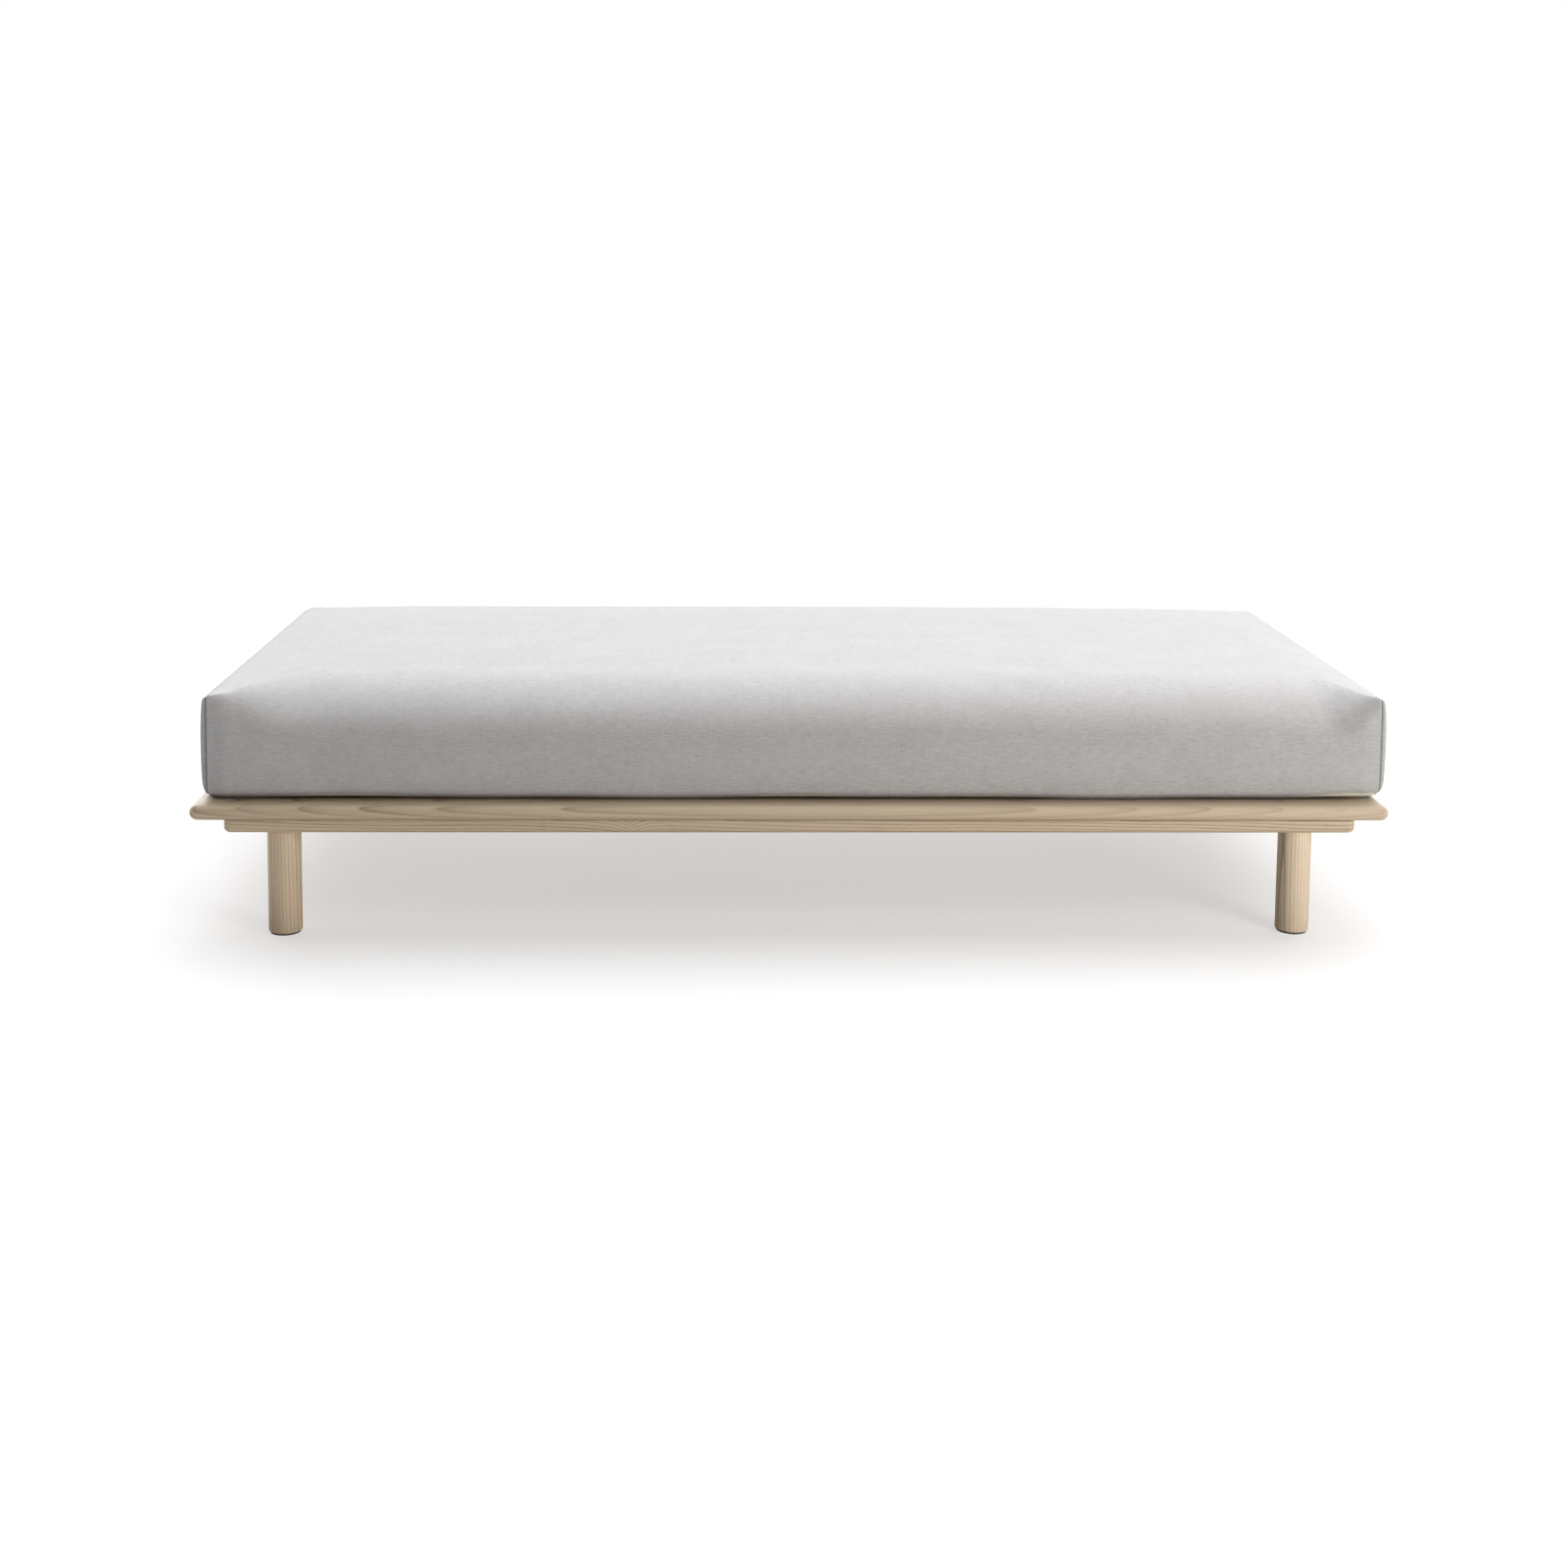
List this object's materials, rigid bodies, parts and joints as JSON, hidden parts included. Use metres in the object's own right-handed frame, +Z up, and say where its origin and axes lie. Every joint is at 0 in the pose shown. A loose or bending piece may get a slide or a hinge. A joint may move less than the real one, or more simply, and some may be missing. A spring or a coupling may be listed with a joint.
{
  "type": "low single bed with fitted mattress",
  "caption": "Low single bed: a rounded ash board ring on a set-back bearer layer and round legs, with a lift-out slat roll and a fitted grey mattress.",
  "frame": {"origin": "on the floor under the middle of the bed", "axes": "+X along the bed's length, -Y towards its front long side, +Z up"},
  "size_m": [2.01, 0.98, 0.4003],
  "materials": {
    "ash_board": "satin clear oil on flat-sawn ash",
    "ash_bearer": "satin clear oil on straight-grained ash",
    "ash_leg": "satin clear oil on turned ash",
    "slat_wood": "planed, raw",
    "beech_dowel": "fluted, raw",
    "felt": "pressed felt",
    "zinc_steel": "bright zinc plate",
    "zinc_plate": "bright zinc plate",
    "webbing": "woven polyester tape",
    "core_foam": "cut foam",
    "comfort_foam": "cut foam",
    "cover_cloth": "melange linen weave",
    "cover_end_cloth": "melange linen weave",
    "cover_base_cloth": "plain non-slip weave",
    "zip_tape": "woven tape",
    "zip_teeth": "moulded coil",
    "zip_metal": "satin nickel plate"
  },
  "bodies": {
    "frame": {"front_rail": "ash_board", "rear_rail": "ash_board", "left_end_board": "ash_board", "right_end_board": "ash_board", "front_bearer": "ash_bearer", "rear_bearer": "ash_bearer", "left_cross_bearer": "ash_bearer", "right_cross_bearer": "ash_bearer", "middle_cross_bearer": "ash_bearer", "leg_front_left": "ash_leg", "leg_front_right": "ash_leg", "leg_rear_left": "ash_leg", "leg_rear_right": "ash_leg", "foot_pad_front_left": "felt", "foot_pad_front_right": "felt", "foot_pad_rear_left": "felt", "foot_pad_rear_right": "felt", "leg_bolts": "zinc_steel", "leg_inserts": "zinc_steel", "corner_dowels": "beech_dowel", "bearer_screws": "zinc_steel", "plate_screws": "zinc_steel", "plate_front_left": "zinc_plate", "plate_front_right": "zinc_plate", "plate_rear_left": "zinc_plate", "plate_rear_right": "zinc_plate", "plate_front_middle": "zinc_plate", "plate_rear_middle": "zinc_plate"},
    "slat_roll": {"slat_01": "slat_wood", "slat_02": "slat_wood", "slat_03": "slat_wood", "slat_04": "slat_wood", "slat_05": "slat_wood", "slat_06": "slat_wood", "slat_07": "slat_wood", "slat_08": "slat_wood", "slat_09": "slat_wood", "slat_10": "slat_wood", "slat_11": "slat_wood", "slat_12": "slat_wood", "slat_13": "slat_wood", "slat_14": "slat_wood", "strap_front": "webbing", "strap_rear": "webbing", "strap_staples": "zinc_steel"},
    "mattress": {"core_foam": "core_foam", "comfort_foam": "comfort_foam", "cover_main_panel": "cover_cloth", "cover_left_panel": "cover_end_cloth", "cover_right_panel": "cover_end_cloth", "cover_base_panel": "cover_base_cloth", "zip_tape": "zip_tape", "zip_teeth": "zip_teeth", "zip_stops": "zip_metal"},
    "zip_slider": {"zip_slider": "zip_metal"},
    "zip_pull": {"zip_pull": "zip_metal"}
  },
  "joints": [
    {"name": "slat_lift", "type": "slide", "parent": "frame", "child": "slat_roll", "axis": [0, 0, 1], "range_m": [0, 0.25]},
    {"name": "mattress_lift", "type": "slide", "parent": "slat_roll", "child": "mattress", "axis": [0, 0, 1], "range_m": [0, 0.45]},
    {"name": "zip_run", "type": "slide", "parent": "mattress", "child": "zip_slider", "axis": [1, 0, 0], "range_m": [0, 1.888]},
    {"name": "pull_swing", "type": "hinge", "parent": "zip_slider", "child": "zip_pull", "pos_m": [-0.9442, 0.4569, 0.2593], "axis": [0, 0, 1], "range_deg": [0, 180]}
  ]
}
